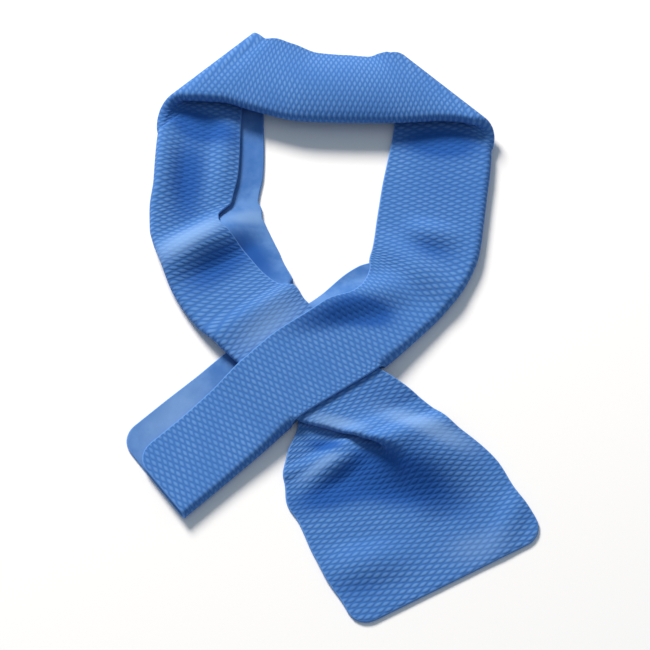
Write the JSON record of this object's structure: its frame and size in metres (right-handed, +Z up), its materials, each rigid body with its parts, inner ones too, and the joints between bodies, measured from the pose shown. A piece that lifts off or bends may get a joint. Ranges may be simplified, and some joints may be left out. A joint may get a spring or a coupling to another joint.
{
  "type": "cooling neck wrap",
  "caption": "Long strip of soft sponge cloth, folded lengthwise, laid in a neck loop and pulled through a slit near its own end, with the free end spread open.",
  "frame": {"origin": "centre of the bounding box in plan, at the height of the surface the wrap lies on", "axes": "+Z up; +Y from the free end towards the back of the neck loop, along the longest extent; +X to the right of a viewer who stands at the free end"},
  "size_m": [0.2482, 0.4162, 0.0203],
  "materials": {
    "cloth": "matte, embossed outside, smooth and paler inside"
  },
  "bodies": {
    "root": {"cooling_wrap": "cloth"}
  },
  "joints": []
}
